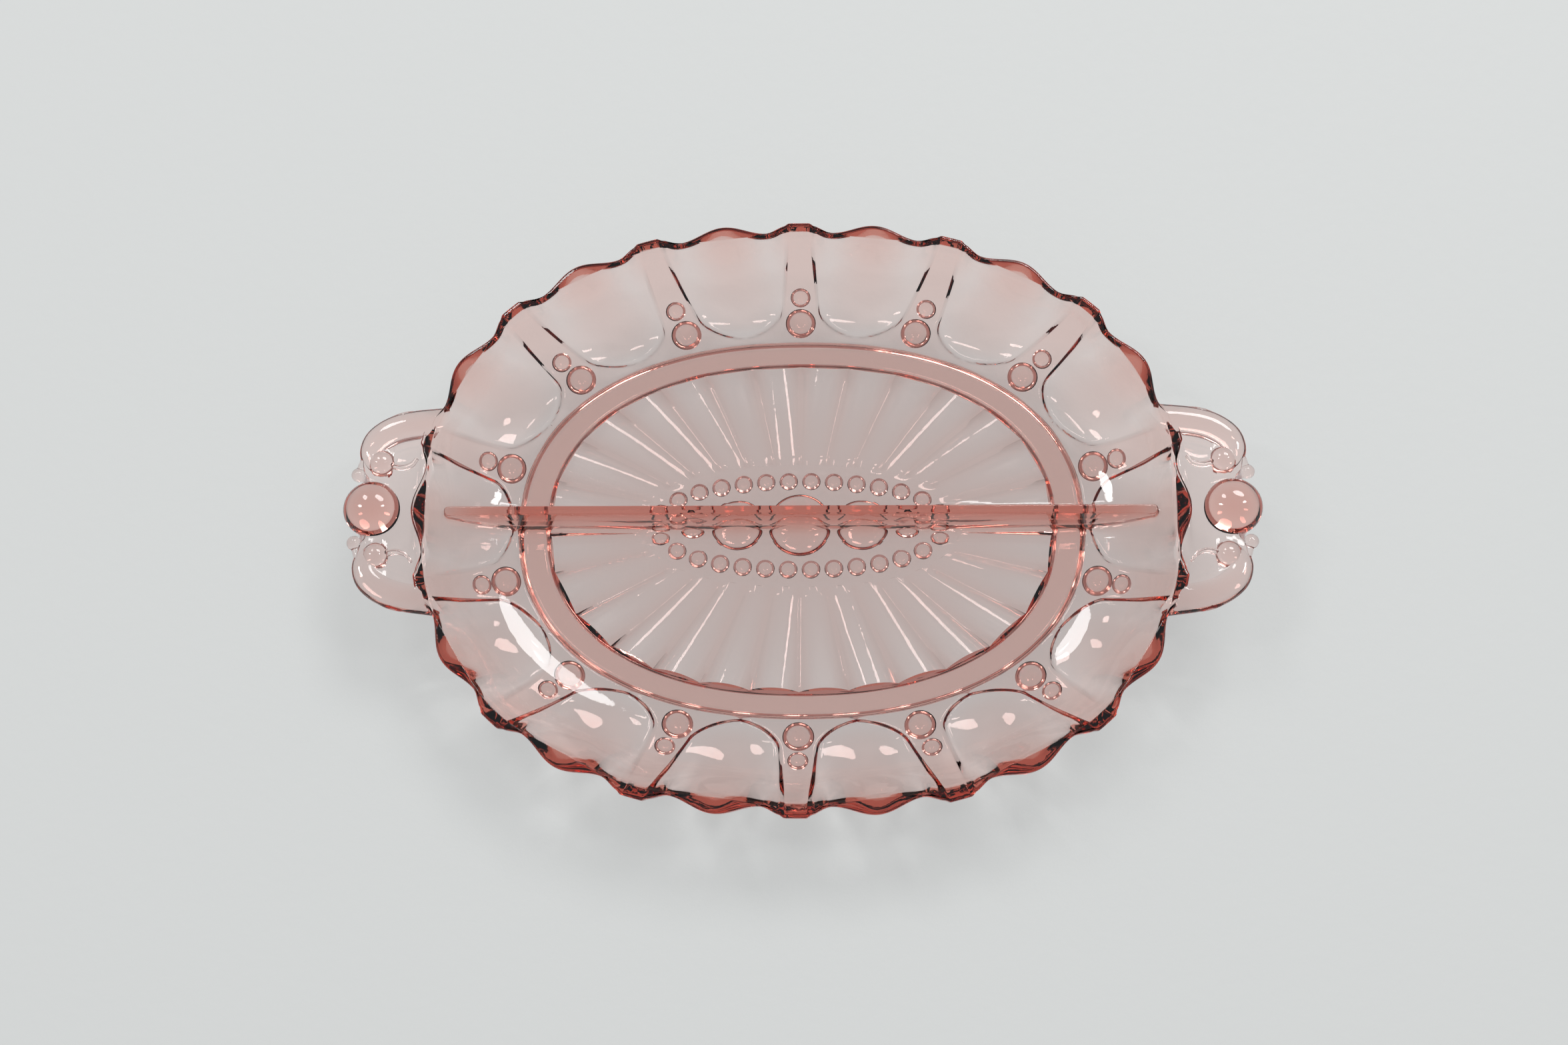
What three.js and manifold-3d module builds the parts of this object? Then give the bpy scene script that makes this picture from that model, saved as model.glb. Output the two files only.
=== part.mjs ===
// Oval divided relish dish in pressed pink glass.
//
// The real dish is one pressed piece. Here its regions are separate solids that lie a thin seam apart:
// base plate, foot ring, side wall, rim, divider and the two end handles.
// Millimetres, +Z up. X runs along the handles and the divider, Y across the dish.
// The origin is at the centre of the foot ring's flat underside.

import * as THREE from 'three';
import { mergeVertices } from 'three/addons/utils/BufferGeometryUtils.js';
import Module from 'manifold-3d';

const wasm = await Module();
wasm.setup();

// ---- driving dimensions -------------------------------------------------------------------------

const SEAM = 0.3; // gap between neighbouring regions
const HANDLE_SEAM = 0.75; // sideways, off the wall's slanting outer face
const OVAL_POWER = 2.25; // 2 is an ellipse, more is squarer

const RIM_HALF_LENGTH = 110.4;
const RIM_HALF_WIDTH = 86.4;
const RIM_HEIGHT = 27.5;
const RIM_LIP_DROP = 0.8; // the land's outer edge is rounded down by this
const RIM_LIP_HEIGHT = 3.5; // the upright band round the rim's outer edge
const RIM_LAND_WIDTH = 3.4;
const RIM_DEPTH = 5.5; // from the land down to the seam between rim and side wall

const FOOT_HALF_LENGTH = 83.3;
const FOOT_HALF_WIDTH = 56.7;
const FOOT_RING_WIDTH_AT_ENDS = 7.7;
const FOOT_RING_WIDTH_AT_SIDES = 6.1;
const FOOT_TO_WALL_HEIGHT = 5;
const FOOT_BEVEL = 0.8;

const FLOOR_HEIGHT = 7.5; // inside floor of the two compartments
const FLOOR_INSET = 2.7; // the flat floor ends this far inside the foot's outer edge
const OUTER_TURN = { level: 0.7, rise: 1.7 }; // where the outer face turns up, and how far over its start
const INNER_TURN = { level: 0.52, rise: 1.8 };
const BASE_UNDERSIDE = 3; // ridges between the flutes
const FLUTE_DEPTH = 1.2;
const MEDALLION_HALF_LENGTH = 47;
const MEDALLION_HALF_WIDTH = 18.5;
const MEDALLION_RECESS = 0.6;
const MEDALLION_BORDER = 1.5;

const COLUMN_COUNT = 14; // pearl columns round the wall, with a panel between each two
const FLUTE_COUNT = 28;
const SCALLOP_DEPTH = 2.7;
const COLUMN_HALF_SHARE = 0.07; // of the spacing of two columns
const VALLEY_SHARE = 0.225; // where the rim's valleys lie, as a share of that spacing
const SCALLOP_START = 0.5; // how far up the wall the scallop begins

const LARGE_PEARL_RADIUS = 4.6;
const LARGE_PEARL_HALF_HEIGHT = 2.8;
const LARGE_PEARL_LEVEL = 0.209; // place on the wall, 0 at the foot's edge and 1 at the rim
const SMALL_PEARL_RADIUS = 3.05;
const SMALL_PEARL_HALF_HEIGHT = 2.2;
const SMALL_PEARL_LEVEL = 0.465;

const BEAD_RING_HALF_LENGTH = 42;
const BEAD_RING_HALF_WIDTH = 13.3;
const BEAD_RADIUS = 2.75;
const BEAD_HEIGHT = 1.9;
const MEDALLION_DOMES = [
  { x: 0, radius: 9.05 },
  { x: 18.5, radius: 7.5 },
  { x: 31.7, radius: 3.45 },
];
const DOME_HEIGHT = 2.6;
const DOME_HEIGHT_SHARE = 0.43; // of the radius, which keeps a small dome low

const DIVIDER_BELOW_RIM = 3;
const DIVIDER_TOP_WIDTH = 2.6;
const DIVIDER_DRAFT = THREE.MathUtils.degToRad(4);
const DIVIDER_FILLET = 3;
const DIVIDER_END_INSET = 8.9; // from the rim's end

const HANDLE_HALF_SPAN = 30.2;
const HANDLE_SHOULDER_RADIUS = 15;
const HANDLE_REACH = 14.8; // from the rim's end out to the tab's outer edge
const HANDLE_PEARL_REACH = 11.6; // from the rim's end out to the pearl's centre
const HANDLE_PEARL_RADIUS = 8.1;
const HANDLE_PEARL_HALF_HEIGHT = 5.5;
const HANDLE_BEAD_RADIUS = 2;
const HANDLE_BEAD_SPREAD = 10;
const HANDLE_THICKNESS = 5.5;
const HANDLE_EDGE_BEVEL = 1.2;
const HANDLE_ROOT_DEPTH = 12; // how far the blank runs in, before the dish is cut away from it
const HANDLE_MIDDLE_BELOW_RIM = 3;
const HANDLE_RISE = THREE.MathUtils.degToRad(9);

// ---- sizes that follow from them ------------------------------------------------------------------

const RIM_SEAM_HEIGHT = RIM_HEIGHT - RIM_DEPTH;
const FOOT_INNER_HALF_LENGTH = FOOT_HALF_LENGTH - FOOT_RING_WIDTH_AT_ENDS;
const FOOT_INNER_HALF_WIDTH = FOOT_HALF_WIDTH - FOOT_RING_WIDTH_AT_SIDES;
const DIVIDER_TOP_HEIGHT = RIM_HEIGHT - DIVIDER_BELOW_RIM;
const DIVIDER_HALF_LENGTH = RIM_HALF_LENGTH - DIVIDER_END_INSET;

// ---- mesh fineness --------------------------------------------------------------------------------

const WALL_STATIONS = COLUMN_COUNT * 8;
const RIM_STATIONS = COLUMN_COUNT * 12;
const BASE_STATIONS = FLUTE_COUNT * 4;
const ARC_STEPS = 200;
const CURVE_STEPS = 4;
const SHOULDER_STEPS = 6;
const HALVINGS = 40; // of a search for a point on a face
const MERGE_DISTANCE = 1e-4;

/** How many facets a pearl has round its equator and from pole to pole. */
const FINENESS = {
  largePearl: { turns: 10, rows: 6 },
  smallPearl: { turns: 8, rows: 5 },
  bead: { turns: 8, rows: 6 },
  dome: { turns: 14, rows: 6 },
  handlePearl: { turns: 16, rows: 8 },
  handleBead: { turns: 10, rows: 6 },
};

const glass = (name) => {
  const material = new THREE.MeshStandardMaterial({
    color: 0xf2c6bd,
    roughness: 0.06,
    metalness: 0,
    transparent: true,
    opacity: 0.4,
  });
  material.name = name;
  return material;
};

// ---- ovals --------------------------------------------------------------------------------------

/** One quarter of a superellipse, from +X round to +Y. */
class QuarterOval extends THREE.Curve {
  constructor(halfLength, halfWidth) {
    super();
    this.halfLength = halfLength;
    this.halfWidth = halfWidth;
    this.arcLengthDivisions = ARC_STEPS;
  }

  getPoint(share, target = new THREE.Vector3()) {
    const angle = (share * Math.PI) / 2;
    const along = (Math.cos(angle) / this.halfLength) ** OVAL_POWER;
    const across = (Math.sin(angle) / this.halfWidth) ** OVAL_POWER;
    const radius = (along + across) ** (-1 / OVAL_POWER);
    return target.set(radius * Math.cos(angle), radius * Math.sin(angle), 0);
  }
}

/** An oval that gives its point at a share of its length, pushed out sideways by shift. */
function makeOval(halfLength, halfWidth) {
  const quarter = new QuarterOval(halfLength, halfWidth);
  const at = (share, shift = 0) => {
    const quadrant = Math.floor(share * 4) % 4;
    const local = share * 4 - Math.floor(share * 4);
    const mirrored = quadrant % 2 === 1;
    const point = quarter.getPointAt(mirrored ? 1 - local : local);
    const normal = new THREE.Vector3(
      point.x ** (OVAL_POWER - 1) / halfLength ** OVAL_POWER,
      point.y ** (OVAL_POWER - 1) / halfWidth ** OVAL_POWER,
      0,
    ).normalize();
    point.addScaledVector(normal, shift);
    point.x *= quadrant === 1 || quadrant === 2 ? -1 : 1;
    point.y *= quadrant > 1 ? -1 : 1;
    return point;
  };
  return { at };
}

/** The oval at a level of the wall: 0 is the foot's outer edge and 1 the rim's crests. */
function wallOval(level) {
  return makeOval(
    THREE.MathUtils.lerp(FOOT_HALF_LENGTH, RIM_HALF_LENGTH, level),
    THREE.MathUtils.lerp(FOOT_HALF_WIDTH, RIM_HALF_WIDTH, level),
  );
}

/** The wall's width in plan, which turns millimetres into levels. */
const WALL_REACH = RIM_HALF_WIDTH - FOOT_HALF_WIDTH;

// ---- the wall's two faces, as (level, height) -----------------------------------------------------

const OUTER_FACE = new THREE.QuadraticBezierCurve(
  new THREE.Vector2(0, FOOT_TO_WALL_HEIGHT),
  new THREE.Vector2(OUTER_TURN.level, FOOT_TO_WALL_HEIGHT + OUTER_TURN.rise),
  new THREE.Vector2(1, RIM_HEIGHT - RIM_LIP_HEIGHT),
);

const INNER_FACE = new THREE.QuadraticBezierCurve(
  new THREE.Vector2(-FLOOR_INSET / WALL_REACH, FLOOR_HEIGHT),
  new THREE.Vector2(INNER_TURN.level, FLOOR_HEIGHT + INNER_TURN.rise),
  new THREE.Vector2(1 - RIM_LAND_WIDTH / WALL_REACH, RIM_HEIGHT),
);

/** The share along a face's curve at which a coordinate, 'x' for level or 'y' for height, reaches a value. */
function shareWhere(face, coordinate, value) {
  let low = 0;
  let high = 1;
  for (let step = 0; step < HALVINGS; step++) {
    const middle = (low + high) / 2;
    if (face.getPoint(middle)[coordinate] < value) low = middle;
    else high = middle;
  }
  return (low + high) / 2;
}

/** Points of a face from one share to another. */
function facePoints(face, start, end, steps = CURVE_STEPS) {
  const points = [];
  for (let step = 0; step <= steps; step++) {
    points.push(face.getPoint(THREE.MathUtils.lerp(start, end, step / steps)));
  }
  return points;
}

/** Profile entries that follow the outer face and its scallop, grown by a clearance. */
function outerProfile(points, clearance = 0) {
  return points.map(({ x, y }) => ({
    oval: wallOval(x),
    height: y,
    shift: (share) => outerShift(share, x) + clearance,
  }));
}

/** How far the rim's edge lies inside its crests at a share of the way round. */
function scallop(share) {
  const spacing = (share - 0.25) * COLUMN_COUNT;
  const fromColumn = Math.abs(spacing - Math.round(spacing));
  if (fromColumn < COLUMN_HALF_SHARE) return 0;
  const reach = fromColumn < VALLEY_SHARE ? COLUMN_HALF_SHARE : 0.5;
  const fromCrest = (fromColumn - reach) / (VALLEY_SHARE - reach);
  return -SCALLOP_DEPTH * 0.5 * (1 - Math.cos(Math.PI * fromCrest));
}

/** The scallop fades out down the wall. */
function outerShift(share, level) {
  return scallop(share) * THREE.MathUtils.smoothstep(level, SCALLOP_START, 1);
}

// ---- solids ---------------------------------------------------------------------------------------

/**
 * A closed profile swept round the dish. It is a lathe whose rings are then drawn out to ovals.
 * Each profile entry is {oval, height} with an optional height(share) and shift(share), or {axis: height}.
 */
function sweepRound(profile, stations) {
  const closed = 'axis' in profile[0] ? profile : [...profile, profile[0]];
  const template = closed.map((entry, row) => new THREE.Vector2('axis' in entry ? 0 : 1, row));
  const geometry = new THREE.LatheGeometry(template, stations);
  const position = geometry.attributes.position;
  for (let station = 0; station <= stations; station++) {
    const share = (station % stations) / stations;
    closed.forEach((entry, row) => {
      const vertex = station * closed.length + row;
      if ('axis' in entry) {
        position.setXYZ(vertex, 0, 0, entry.axis);
        return;
      }
      const point = entry.oval.at(share, entry.shift ? entry.shift(share) : 0);
      const height = typeof entry.height === 'function' ? entry.height(share) : entry.height;
      position.setXYZ(vertex, point.x, point.y, height);
    });
  }
  return cleanGeometry(geometry);
}

/** The geometry with shared vertices merged, collapsed triangles dropped and its faces pointing out. */
function cleanGeometry(geometry) {
  const bare = geometry.clone();
  bare.deleteAttribute('normal');
  bare.deleteAttribute('uv');
  const merged = mergeVertices(bare, MERGE_DISTANCE);
  const index = merged.index.array;
  const kept = [];
  for (let i = 0; i < index.length; i += 3) {
    const [a, b, c] = [index[i], index[i + 1], index[i + 2]];
    if (a !== b && b !== c && c !== a) kept.push(a, b, c);
  }
  merged.setIndex(kept);
  if (signedVolume(merged) < 0) {
    const flipped = [];
    for (let i = 0; i < kept.length; i += 3) flipped.push(kept[i], kept[i + 2], kept[i + 1]);
    merged.setIndex(flipped);
  }
  return merged;
}

function signedVolume(geometry) {
  const position = geometry.attributes.position;
  const index = geometry.index.array;
  const corners = [new THREE.Vector3(), new THREE.Vector3(), new THREE.Vector3()];
  let volume = 0;
  for (let i = 0; i < index.length; i += 3) {
    corners.forEach((corner, side) => corner.fromBufferAttribute(position, index[i + side]));
    volume += corners[0].dot(corners[1].cross(corners[2])) / 6;
  }
  return volume;
}

function toSolid(geometry) {
  const clean = cleanGeometry(geometry);
  return new wasm.Manifold(
    new wasm.Mesh({
      numProp: 3,
      vertProperties: new Float32Array(clean.attributes.position.array),
      triVerts: new Uint32Array(clean.index.array),
    }),
  );
}

function toGeometry(solid) {
  const mesh = solid.getMesh();
  const geometry = new THREE.BufferGeometry();
  geometry.setAttribute('position', new THREE.BufferAttribute(mesh.vertProperties, 3));
  geometry.setIndex(new THREE.BufferAttribute(mesh.triVerts, 1));
  geometry.computeVertexNormals();
  return geometry;
}

/** The body that is left of a blank once the offcuts of its root are gone. */
function largestBody(solid) {
  const bodies = solid.decompose();
  return bodies.reduce((largest, body) => (body.volume() > largest.volume() ? body : largest));
}

/** A pearl: a ball, flattened to its own height. */
function pearl(centre, radius, halfHeight, { turns, rows }) {
  const ball = new THREE.SphereGeometry(radius, turns, rows);
  ball.rotateX(Math.PI / 2);
  ball.scale(1, 1, halfHeight / radius);
  ball.translate(centre.x, centre.y, centre.z);
  return toSolid(ball);
}

// ---- sub-parts --------------------------------------------------------------------------------------

function fluteHeight(share, depth) {
  const across = (share * FLUTE_COUNT) % 1;
  return BASE_UNDERSIDE + depth * 4 * across * (1 - across);
}

function buildBasePlate() {
  const medallion = makeOval(MEDALLION_HALF_LENGTH, MEDALLION_HALF_WIDTH);
  const edge = makeOval(FOOT_INNER_HALF_LENGTH - SEAM, FOOT_INNER_HALF_WIDTH - SEAM);
  const recess = BASE_UNDERSIDE + MEDALLION_RECESS;
  const plate = sweepRound(
    [
      { axis: recess },
      { oval: medallion, shift: () => -MEDALLION_BORDER, height: recess },
      { oval: medallion, height: (share) => fluteHeight(share, FLUTE_DEPTH / 2) },
      { oval: edge, shift: () => -MEDALLION_BORDER, height: (share) => fluteHeight(share, FLUTE_DEPTH) },
      { oval: edge, height: recess },
      { oval: edge, height: FLOOR_HEIGHT },
      { axis: FLOOR_HEIGHT },
    ],
    BASE_STATIONS,
  );
  const beadRing = makeOval(BEAD_RING_HALF_LENGTH, BEAD_RING_HALF_WIDTH);
  const underside = [];
  for (let bead = 0; bead < FLUTE_COUNT; bead++) {
    const centre = beadRing.at((bead + 0.5) / FLUTE_COUNT).setZ(recess);
    underside.push(pearl(centre, BEAD_RADIUS, BEAD_HEIGHT, FINENESS.bead));
  }
  for (const { x, radius } of MEDALLION_DOMES) {
    for (const side of x === 0 ? [1] : [1, -1]) {
      const centre = new THREE.Vector3(side * x, 0, recess);
      const height = Math.min(DOME_HEIGHT, radius * DOME_HEIGHT_SHARE);
      underside.push(pearl(centre, radius, height, FINENESS.dome));
    }
  }
  return toGeometry(underside.reduce((solid, bead) => solid.add(bead), toSolid(plate)));
}

function buildFootRing() {
  const outer = wallOval(0);
  const inner = makeOval(FOOT_INNER_HALF_LENGTH, FOOT_INNER_HALF_WIDTH);
  const floorEdge = INNER_FACE.getPoint(0);
  const top = INNER_FACE.getPoint(shareWhere(INNER_FACE, 'x', 0));
  return sweepRound(
    [
      { oval: inner, shift: () => FOOT_BEVEL, height: 0 },
      { oval: outer, shift: () => -FOOT_BEVEL, height: 0 },
      { oval: outer, height: FOOT_BEVEL },
      { oval: outer, height: top.y },
      { oval: wallOval(floorEdge.x), height: FLOOR_HEIGHT },
      { oval: inner, height: FLOOR_HEIGHT },
      { oval: inner, height: FOOT_BEVEL },
    ],
    BASE_STATIONS,
  );
}

/** The pearls stand on the wall's outer face, one large and one small to a column. */
function wallPearls() {
  const kinds = [
    {
      level: LARGE_PEARL_LEVEL,
      radius: LARGE_PEARL_RADIUS,
      halfHeight: LARGE_PEARL_HALF_HEIGHT,
      fineness: FINENESS.largePearl,
    },
    {
      level: SMALL_PEARL_LEVEL,
      radius: SMALL_PEARL_RADIUS,
      halfHeight: SMALL_PEARL_HALF_HEIGHT,
      fineness: FINENESS.smallPearl,
    },
  ];
  const pearls = [];
  for (const { level, radius, halfHeight, fineness } of kinds) {
    const oval = wallOval(level);
    const height = OUTER_FACE.getPoint(shareWhere(OUTER_FACE, 'x', level)).y;
    for (let column = 0; column < COLUMN_COUNT; column++) {
      const centre = oval.at((column + 0.5) / COLUMN_COUNT).setZ(height);
      pearls.push(pearl(centre, radius, halfHeight, fineness));
    }
  }
  return pearls;
}

function buildSideWall() {
  const start = SEAM / WALL_REACH;
  const outer = facePoints(
    OUTER_FACE,
    shareWhere(OUTER_FACE, 'x', start),
    shareWhere(OUTER_FACE, 'y', RIM_SEAM_HEIGHT),
  );
  const inner = facePoints(
    INNER_FACE,
    shareWhere(INNER_FACE, 'y', RIM_SEAM_HEIGHT),
    shareWhere(INNER_FACE, 'x', start),
  );
  const innerProfile = inner.map(({ x, y }) => ({ oval: wallOval(x), height: y }));
  const wall = toSolid(sweepRound([...outerProfile(outer), ...innerProfile], WALL_STATIONS));
  return toGeometry(wallPearls().reduce((solid, ball) => solid.add(ball), wall));
}

/** The space over the floor and inside the wall, raised off both by a clearance. */
function compartmentSpace(clearance) {
  const profile = facePoints(INNER_FACE, 0, 1).map(({ x, y }) => ({
    oval: wallOval(x),
    height: y + clearance,
  }));
  const mouth = INNER_FACE.getPoint(1);
  return sweepRound(
    [
      { axis: FLOOR_HEIGHT + clearance },
      ...profile,
      { oval: wallOval(mouth.x), height: RIM_HEIGHT * 2 },
      { axis: RIM_HEIGHT * 2 },
    ],
    WALL_STATIONS,
  );
}

function buildRim() {
  const base = RIM_SEAM_HEIGHT + SEAM;
  const outer = facePoints(OUTER_FACE, shareWhere(OUTER_FACE, 'y', base), 1, 2);
  const innerBase = INNER_FACE.getPoint(shareWhere(INNER_FACE, 'y', base));
  const innerTop = INNER_FACE.getPoint(1);
  const landEdge = 1 - RIM_LIP_DROP / WALL_REACH;
  return sweepRound(
    [
      ...outerProfile(outer),
      ...outerProfile([new THREE.Vector2(1, RIM_HEIGHT - RIM_LIP_DROP)]),
      { oval: wallOval(landEdge), height: RIM_HEIGHT, shift: (share) => outerShift(share, 1) },
      { oval: wallOval(innerTop.x), height: RIM_HEIGHT },
      { oval: wallOval(innerBase.x), height: base },
    ],
    RIM_STATIONS,
  );
}

/** The divider's cross-section, drawn with its height along +Y. */
function dividerSection() {
  const halfTop = DIVIDER_TOP_WIDTH / 2;
  const rise = DIVIDER_TOP_HEIGHT - FLOOR_HEIGHT - DIVIDER_FILLET;
  const halfFoot = halfTop + rise * Math.tan(DIVIDER_DRAFT);
  const filletTop = FLOOR_HEIGHT + DIVIDER_FILLET;
  const section = new THREE.Shape();
  section.moveTo(-halfFoot - DIVIDER_FILLET, FLOOR_HEIGHT - SEAM);
  section.lineTo(halfFoot + DIVIDER_FILLET, FLOOR_HEIGHT - SEAM);
  section.lineTo(halfFoot + DIVIDER_FILLET, FLOOR_HEIGHT);
  section.absarc(
    halfFoot + DIVIDER_FILLET,
    filletTop,
    DIVIDER_FILLET,
    -Math.PI / 2,
    -Math.PI + DIVIDER_DRAFT,
    true,
  );
  section.lineTo(halfTop, DIVIDER_TOP_HEIGHT);
  section.lineTo(-halfTop, DIVIDER_TOP_HEIGHT);
  section.absarc(-halfFoot - DIVIDER_FILLET, filletTop, DIVIDER_FILLET, -DIVIDER_DRAFT, -Math.PI / 2, true);
  section.lineTo(-halfFoot - DIVIDER_FILLET, FLOOR_HEIGHT - SEAM);
  return section;
}

function buildDivider() {
  const length = 2 * DIVIDER_HALF_LENGTH;
  const wall = new THREE.ExtrudeGeometry(dividerSection(), {
    depth: length,
    bevelEnabled: false,
    curveSegments: CURVE_STEPS,
  });
  wall.rotateX(Math.PI / 2);
  wall.rotateZ(Math.PI / 2);
  wall.translate(-length / 2, 0, 0);
  return toGeometry(toSolid(wall).intersect(toSolid(compartmentSpace(SEAM))));
}

/** The dish without its handles, from its floor up, grown by a seam, to cut the handles' roots. */
function dishEnvelope() {
  const start = shareWhere(OUTER_FACE, 'y', FLOOR_HEIGHT);
  return sweepRound(
    [
      { axis: FLOOR_HEIGHT },
      ...outerProfile(facePoints(OUTER_FACE, start, 1), HANDLE_SEAM),
      ...outerProfile([new THREE.Vector2(1, RIM_HEIGHT * 2)], HANDLE_SEAM),
      { axis: RIM_HEIGHT * 2 },
    ],
    RIM_STATIONS,
  );
}

/** The handle's tab, drawn flat with the rim's end at the origin and +X pointing away from the dish. */
function handleOutline() {
  const shoulderX = HANDLE_REACH - HANDLE_SHOULDER_RADIUS;
  const shoulderY = HANDLE_HALF_SPAN - HANDLE_SHOULDER_RADIUS;
  const outline = new THREE.Shape();
  outline.moveTo(-HANDLE_ROOT_DEPTH, -HANDLE_HALF_SPAN);
  outline.absarc(shoulderX, -shoulderY, HANDLE_SHOULDER_RADIUS, -Math.PI / 2, 0, false);
  outline.lineTo(HANDLE_PEARL_REACH, -HANDLE_BEAD_SPREAD);
  outline.lineTo(HANDLE_PEARL_REACH, HANDLE_BEAD_SPREAD);
  outline.absarc(shoulderX, shoulderY, HANDLE_SHOULDER_RADIUS, 0, Math.PI / 2, false);
  outline.lineTo(-HANDLE_ROOT_DEPTH, HANDLE_HALF_SPAN);
  return outline;
}

function buildHandle(side) {
  const flat = HANDLE_THICKNESS - 2 * HANDLE_EDGE_BEVEL;
  const tab = new THREE.ExtrudeGeometry(handleOutline(), {
    depth: flat,
    bevelThickness: HANDLE_EDGE_BEVEL,
    bevelSize: HANDLE_EDGE_BEVEL,
    bevelOffset: -HANDLE_EDGE_BEVEL,
    bevelSegments: 2,
    curveSegments: SHOULDER_STEPS,
  });
  tab.translate(0, 0, -flat / 2);
  const centre = new THREE.Vector3(HANDLE_PEARL_REACH, 0, 0);
  const large = pearl(centre, HANDLE_PEARL_RADIUS, HANDLE_PEARL_HALF_HEIGHT, FINENESS.handlePearl);
  let handle = toSolid(tab).add(large);
  for (const y of [-HANDLE_BEAD_SPREAD, HANDLE_BEAD_SPREAD]) {
    const bead = new THREE.Vector3(HANDLE_REACH, y, 0);
    handle = handle.add(pearl(bead, HANDLE_BEAD_RADIUS, HANDLE_BEAD_RADIUS, FINENESS.handleBead));
  }
  const placed = toGeometry(handle);
  placed.rotateY(-HANDLE_RISE);
  placed.translate(RIM_HALF_LENGTH, 0, RIM_HEIGHT - HANDLE_MIDDLE_BELOW_RIM);
  if (side < 0) placed.rotateZ(Math.PI);
  return toGeometry(largestBody(toSolid(placed).subtract(toSolid(dishEnvelope()))));
}

// ---- assembly ---------------------------------------------------------------------------------------

const dish = new THREE.Group();

function addPart(name, geometry) {
  const mesh = new THREE.Mesh(geometry, glass(name));
  mesh.name = name;
  dish.add(mesh);
}

addPart('base_plate', buildBasePlate());
addPart('foot_ring', buildFootRing());
addPart('side_wall', buildSideWall());
addPart('rim', buildRim());
addPart('divider', buildDivider());
addPart('handle_left', buildHandle(-1));
addPart('handle_right', buildHandle(1));

export default dish;
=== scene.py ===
import math

import bmesh
import bpy
import numpy as np
from mathutils import Matrix, Vector


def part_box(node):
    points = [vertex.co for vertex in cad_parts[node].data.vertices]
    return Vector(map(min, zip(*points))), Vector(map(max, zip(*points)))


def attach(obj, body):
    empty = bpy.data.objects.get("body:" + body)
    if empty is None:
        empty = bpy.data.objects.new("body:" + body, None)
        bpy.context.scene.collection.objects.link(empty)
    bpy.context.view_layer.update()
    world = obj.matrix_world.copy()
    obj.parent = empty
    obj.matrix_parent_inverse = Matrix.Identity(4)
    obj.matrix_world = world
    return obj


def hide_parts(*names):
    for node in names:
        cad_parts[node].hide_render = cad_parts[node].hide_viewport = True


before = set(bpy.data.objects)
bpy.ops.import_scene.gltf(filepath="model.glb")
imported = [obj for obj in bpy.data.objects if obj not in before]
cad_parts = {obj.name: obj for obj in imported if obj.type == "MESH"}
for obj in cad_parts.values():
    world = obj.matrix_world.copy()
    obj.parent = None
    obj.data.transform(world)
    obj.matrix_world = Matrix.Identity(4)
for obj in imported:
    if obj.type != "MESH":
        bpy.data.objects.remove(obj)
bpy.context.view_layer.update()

# Oval divided relish dish in pressed pink glass. The real dish is one piece of glass, so one closed mesh
# stands for all its CAD regions. Metres, in the CAD's frame: X along the handles, +Z up out of the dish.

MM = 0.001

# ---- sizes taken from the CAD regions ----------------------------------------------------------------

rim_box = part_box("rim")
foot_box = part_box("foot_ring")
plate_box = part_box("base_plate")
divider_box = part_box("divider")
handle_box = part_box("handle_right")

SEAM = 0.3 * MM  # the gap that the CAD leaves between its regions
RIM = np.array([rim_box[1].x, rim_box[1].y])  # half length and half width at the crests
RIM_HEIGHT = rim_box[1].z
FOOT = np.array([foot_box[1].x, foot_box[1].y])
FOOT_INNER = np.array([plate_box[1].x, plate_box[1].y]) + SEAM
FLOOR_HEIGHT = plate_box[1].z
DIVIDER_TOP = divider_box[1].z
DIVIDER_HALF_LENGTH = divider_box[1].x
LENGTH_END = handle_box[1].x  # the outermost point of the handle's pearl

# ---- sizes of the finer shape ------------------------------------------------------------------------

OVAL_POWER = 2.25
COLUMNS = 14
FLUTES = 28

# Heights are measured from the foot's underside.
BASE_UNDERSIDE = 3.0 * MM
FLUTE_RADIUS = 11.0 * MM
MEDALLION = np.array([47.0, 18.5]) * MM  # half length and half width
MEDALLION_HEIGHT = 3.6 * MM
MEDALLION_SLOPE = 1.3  # how far the medallion's edge leans out for each unit of its depth
MEDALLION_EDGE = 0.1 * MM
FOOT_EDGE = 1.9 * MM  # the radius of the foot ring's edges
FOOT_INNER_OFFSET = 0.6  # the inner edge's middle, outside the inner oval, in edge radii
FOOT_DRAFT = math.tan(math.radians(22))
FOOT_TOP = 4.0 * MM
WALL_START = 5.0 * MM
WALL_REACH = RIM[1] - FOOT[1]

# A level on the wall is 0 at the foot's outer edge and 1 at the rim.
OUTER_TURN = (0.70, 1.7 * MM)  # the level of the outer face's control point, and its rise
INNER_TURN = (0.52, 1.8 * MM)
FLOOR_INSET = 2.7 * MM  # the compartments' floor ends this far inside the foot

LIP_RADIUS = 0.8 * MM
LIP_HEIGHT = 3.5 * MM  # the upright band under the rim's outer edge
LAND_WIDTH = 3.4 * MM
LAND_SWELL = 1.2 * MM  # the land is this much wider at a panel's middle
LAND_EDGE = 0.5 * MM
LAND_FADE_LEVELS = (0.55, 0.88)  # the inner face takes up the swell of the land between these
SCALLOP_DEPTH = 2.7 * MM
SCALLOP_START = 0.3  # the level where the scallop begins
SCALLOP_POWER = 1.3
COLUMN_HALF_SHARE = 0.065  # of the spacing of two columns, at the rim
VALLEY_SHARE = 0.225  # where the scallop is deepest
PANEL_STEP = 1.9 * MM
PANEL_BEVEL = 1.3 * MM
PANEL_BEND_BEVEL = 0.7 * MM  # added to the bevel round the bottom of the U
PANEL_BEND_LEVELS = (0.15, 0.4)  # where that addition fades out
PANEL_BULGE = 1.6 * MM
BULGE_FULL_LEVEL = 0.3
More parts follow.
